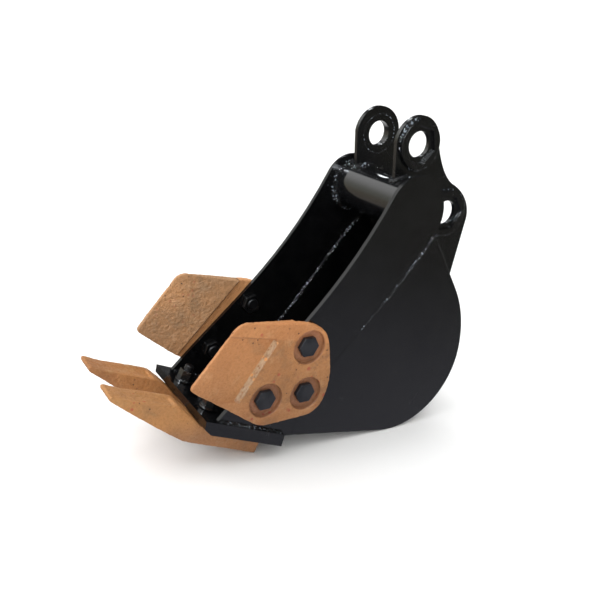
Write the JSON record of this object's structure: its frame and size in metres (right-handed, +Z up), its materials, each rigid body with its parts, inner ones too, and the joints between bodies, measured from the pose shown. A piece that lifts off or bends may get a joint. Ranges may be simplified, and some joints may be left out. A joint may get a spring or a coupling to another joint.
{
  "type": "excavator bucket",
  "caption": "Narrow trenching bucket for a mini excavator, with bolt-on teeth, bolt-on side cutters and a pair of pin ears.",
  "frame": {"origin": "on the ground, under the middle of the bounding box", "axes": "+Z up, the mouth and teeth face -X, the width runs along Y"},
  "size_m": [0.5052, 0.169, 0.4273],
  "materials": {
    "black_paint": "gloss black paint",
    "primed_casting": "matt tan primer on a rough casting",
    "black_bolt": "satin black oxide"
  },
  "bodies": {
    "root": {"cutter_bolt_1_left": "black_bolt", "cutter_bolt_1_right": "black_bolt", "cutter_bolt_2_left": "black_bolt", "cutter_bolt_2_right": "black_bolt", "cutter_bolt_3_left": "black_bolt", "cutter_bolt_3_right": "black_bolt", "cutter_nut_1_left": "black_paint", "cutter_nut_1_right": "black_paint", "cutter_nut_2_left": "black_paint", "cutter_nut_2_right": "black_paint", "cutter_nut_3_left": "black_paint", "cutter_nut_3_right": "black_paint", "ear_left": "black_paint", "ear_right": "black_paint", "lip_plate": "black_paint", "pin_boss_front_left": "black_paint", "pin_boss_front_right": "black_paint", "pin_boss_rear_left": "black_paint", "pin_boss_rear_right": "black_paint", "side_bar_left": "black_paint", "side_bar_right": "black_paint", "side_cutter_left": "primed_casting", "side_cutter_right": "primed_casting", "side_plate_left": "black_paint", "side_plate_right": "black_paint", "tooth_bolt_1_left": "black_bolt", "tooth_bolt_1_right": "black_bolt", "tooth_bolt_2_left": "black_bolt", "tooth_bolt_2_right": "black_bolt", "tooth_left": "primed_casting", "tooth_nut_1_left": "black_paint", "tooth_nut_1_right": "black_paint", "tooth_nut_2_left": "black_paint", "tooth_nut_2_right": "black_paint", "tooth_right": "primed_casting", "torque_tube": "black_paint", "wrapper": "black_paint"}
  },
  "joints": []
}
